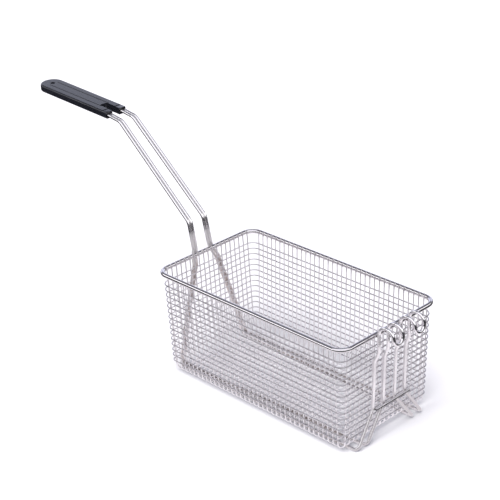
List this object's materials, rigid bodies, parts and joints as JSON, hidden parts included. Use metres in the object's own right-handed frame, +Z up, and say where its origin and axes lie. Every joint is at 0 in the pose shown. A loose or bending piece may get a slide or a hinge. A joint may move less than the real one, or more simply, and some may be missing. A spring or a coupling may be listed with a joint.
{
  "type": "deep fryer basket",
  "caption": "Rectangular welded wire basket with front hooks, splayed wire feet and a raised black plastic grip on paired wires.",
  "frame": {"origin": "centre of the bounding box in plan, on the plane that the part stands on", "axes": "+X along the basket from the grip towards the hooks, +Y across it, +Z up"},
  "size_m": [0.5112, 0.136, 0.2404],
  "materials": {
    "plated_steel": "bright nickel plate on drawn wire",
    "black_plastic": "fine satin moulding"
  },
  "bodies": {
    "root": {"rim_and_basket_wires": "plated_steel", "frame_wire_near": "plated_steel", "frame_wire_far": "plated_steel", "front_crossbar": "plated_steel", "mesh_hoop_01": "plated_steel", "mesh_hoop_02": "plated_steel", "mesh_hoop_03": "plated_steel", "mesh_hoop_04": "plated_steel", "mesh_hoop_05": "plated_steel", "mesh_hoop_06": "plated_steel", "mesh_hoop_07": "plated_steel", "mesh_hoop_08": "plated_steel", "mesh_hoop_09": "plated_steel", "mesh_hoop_10": "plated_steel", "mesh_hoop_11": "plated_steel", "mesh_hoop_12": "plated_steel", "mesh_hoop_13": "plated_steel", "mesh_hoop_14": "plated_steel", "mesh_hoop_15": "plated_steel", "grip": "black_plastic"}
  },
  "joints": []
}
